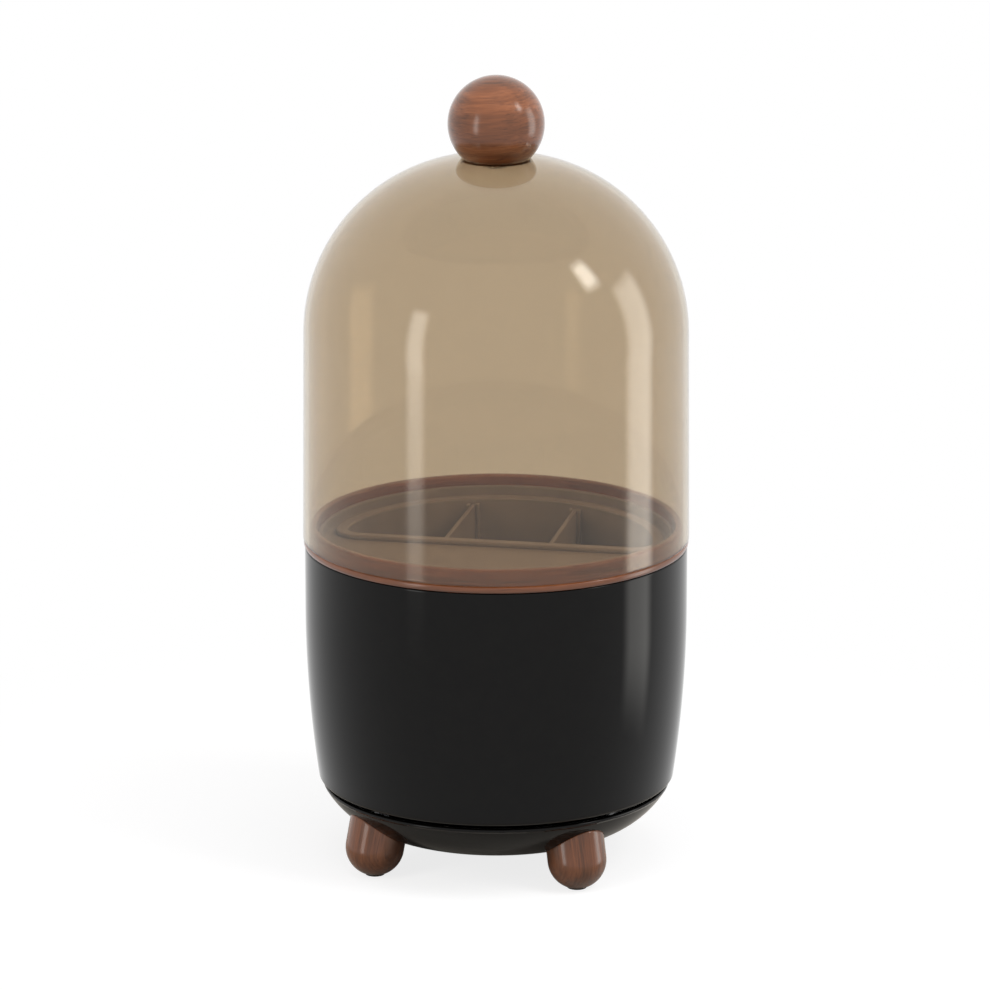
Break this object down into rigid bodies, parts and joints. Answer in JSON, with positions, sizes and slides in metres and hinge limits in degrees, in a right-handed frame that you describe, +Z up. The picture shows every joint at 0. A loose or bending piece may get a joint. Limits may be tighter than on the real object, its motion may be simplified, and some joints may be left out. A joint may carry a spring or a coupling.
{
  "type": "rotating makeup brush holder",
  "caption": "Rotating makeup brush holder: tinted clear dome with a wooden ball knob over a wooden ring and a glossy black drum that turns on a shallow footed dish.",
  "frame": {"origin": "on the floor under the holder's centre", "axes": "+Z up along the turning axis, -Y to the front, where the shelf is"},
  "size_m": [0.1514, 0.1514, 0.3121],
  "materials": {
    "walnut": "satin lacquered walnut",
    "black_gloss": "high gloss black",
    "tinted_acrylic": "clear, tea-tinted, polished",
    "taupe_plastic": "fine matt",
    "steel": "zinc plated",
    "brass": "turned",
    "nylon": "natural nylon",
    "rubber": "soft matt"
  },
  "bodies": {
    "base": {"base_dish": "black_gloss", "foot_1": "walnut", "foot_2": "walnut", "foot_3": "walnut", "foot_4": "walnut", "foot_pads": "rubber", "foot_screws": "steel", "lower_race": "steel", "lower_race_screws": "steel", "pivot_bush": "nylon", "base_cap": "rubber"},
    "bearing_cage": {"ball_cage": "nylon", "bearing_balls": "steel"},
    "turntable": {"outer_shell": "black_gloss", "turntable_plate": "black_gloss", "plate_screws": "steel", "upper_race": "steel", "upper_race_screws": "steel", "pivot_bolt": "steel", "thrust_washer": "steel", "lock_nut": "steel", "rim_ring": "walnut", "insert_tray": "taupe_plastic"},
    "well": {"brush_well": "taupe_plastic", "partition_left": "taupe_plastic", "partition_right": "taupe_plastic"},
    "dome": {"dome_cover": "tinted_acrylic", "knob_ball": "walnut", "knob_insert": "brass", "knob_screw": "steel", "knob_washer": "nylon"}
  },
  "joints": [
    {"name": "turntable_spin", "type": "hinge", "parent": "base", "child": "turntable", "pos_m": [0, 0, 0.03], "axis": [0, 0, 1], "continuous": true},
    {"name": "cage_spin", "type": "hinge", "parent": "base", "child": "bearing_cage", "pos_m": [0, 0, 0.0284], "axis": [0, 0, 1], "continuous": true},
    {"name": "dome_lift", "type": "slide", "parent": "turntable", "child": "dome", "axis": [0, 0, 1], "range_m": [0, 0.17]},
    {"name": "well_lift", "type": "slide", "parent": "turntable", "child": "well", "axis": [0, 0, 1], "range_m": [0, 0.092]}
  ],
  "couplings": [
    {"joint": "cage_spin", "follows": "turntable_spin", "ratio": 0.5}
  ]
}
